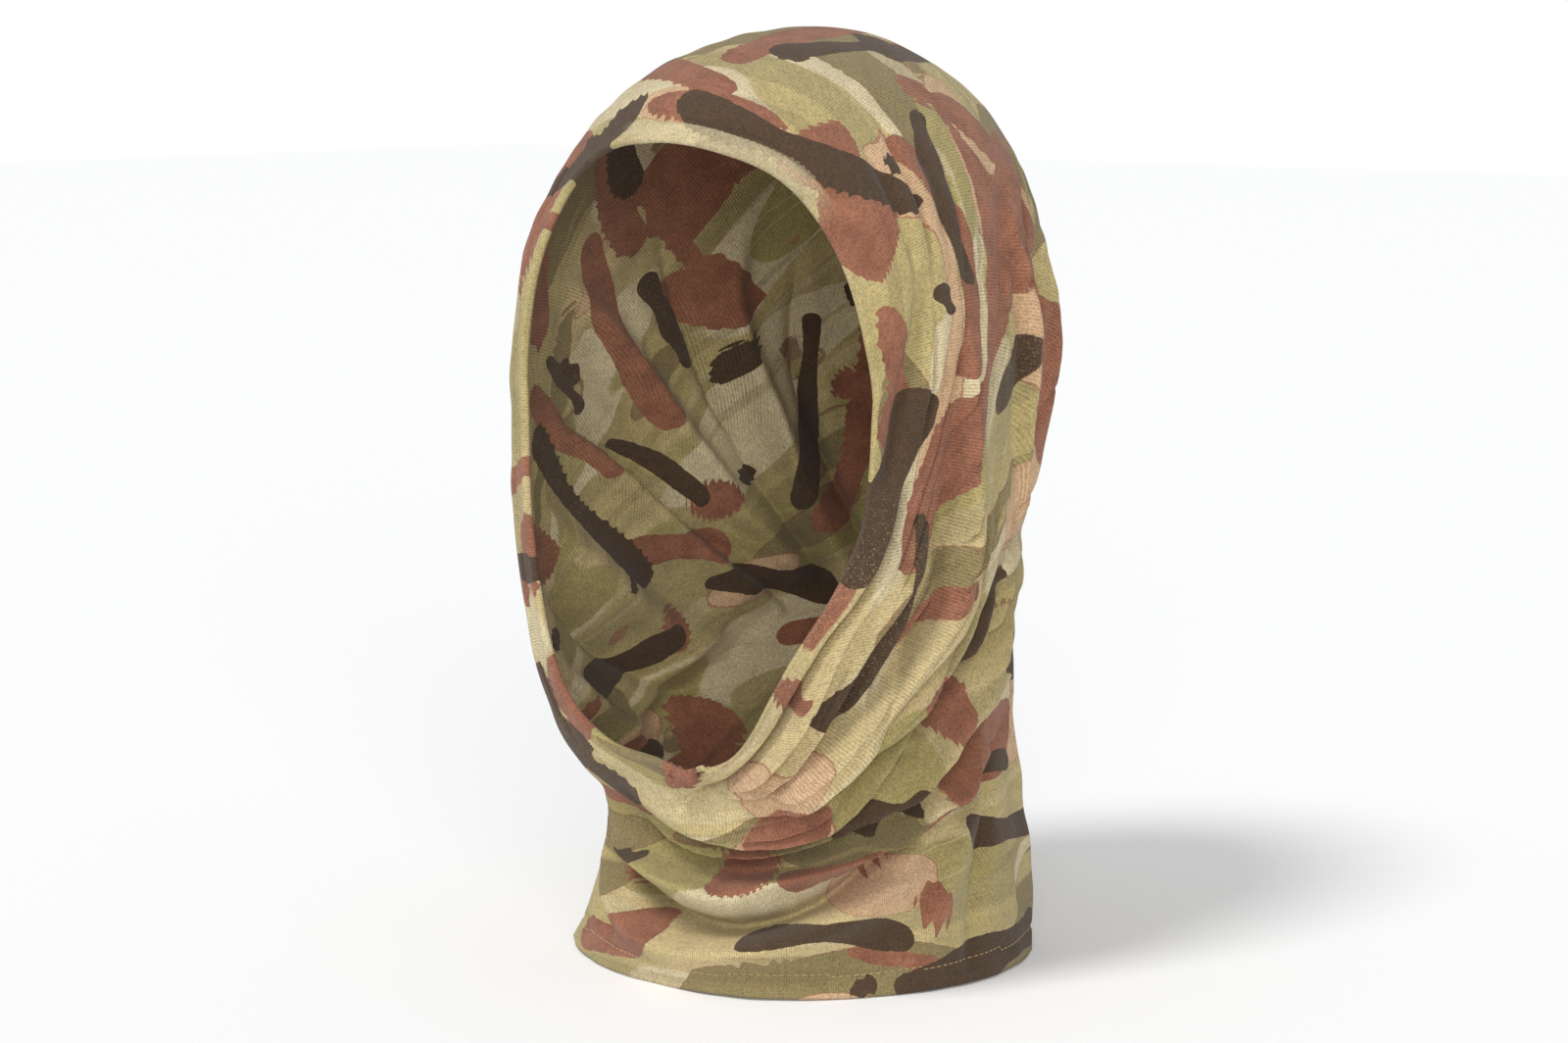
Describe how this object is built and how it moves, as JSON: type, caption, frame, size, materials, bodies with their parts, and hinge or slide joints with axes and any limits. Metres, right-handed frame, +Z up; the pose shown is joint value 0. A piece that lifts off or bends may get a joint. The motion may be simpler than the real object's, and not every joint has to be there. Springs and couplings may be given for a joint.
{
  "type": "face mask",
  "caption": "Seamless knitted camouflage tube worn as an open-face hood: gathered crown, folded face edge, cowl folds at the chin and a hemmed neck.",
  "frame": {"origin": "middle of the mask's plan outline, on the surface that the neck hem stands on", "axes": "+Z up along the neck and head, the face opening towards -Y, +X to the wearer's left"},
  "size_m": [0.172, 0.1914, 0.3253],
  "materials": {
    "camo_knit": null,
    "hem_thread": "matt tan polyester sewing thread"
  },
  "bodies": {
    "root": {"crown": "camo_knit", "hood_left_side": "camo_knit", "hood_right_side": "camo_knit", "hood_back": "camo_knit", "face_edge_fold": "camo_knit", "chin_cowl_fold": "camo_knit", "neck_tube": "camo_knit", "neck_hem": "camo_knit", "neck_hem_stitching": "hem_thread", "face_edge_stitching": "hem_thread"}
  },
  "joints": []
}
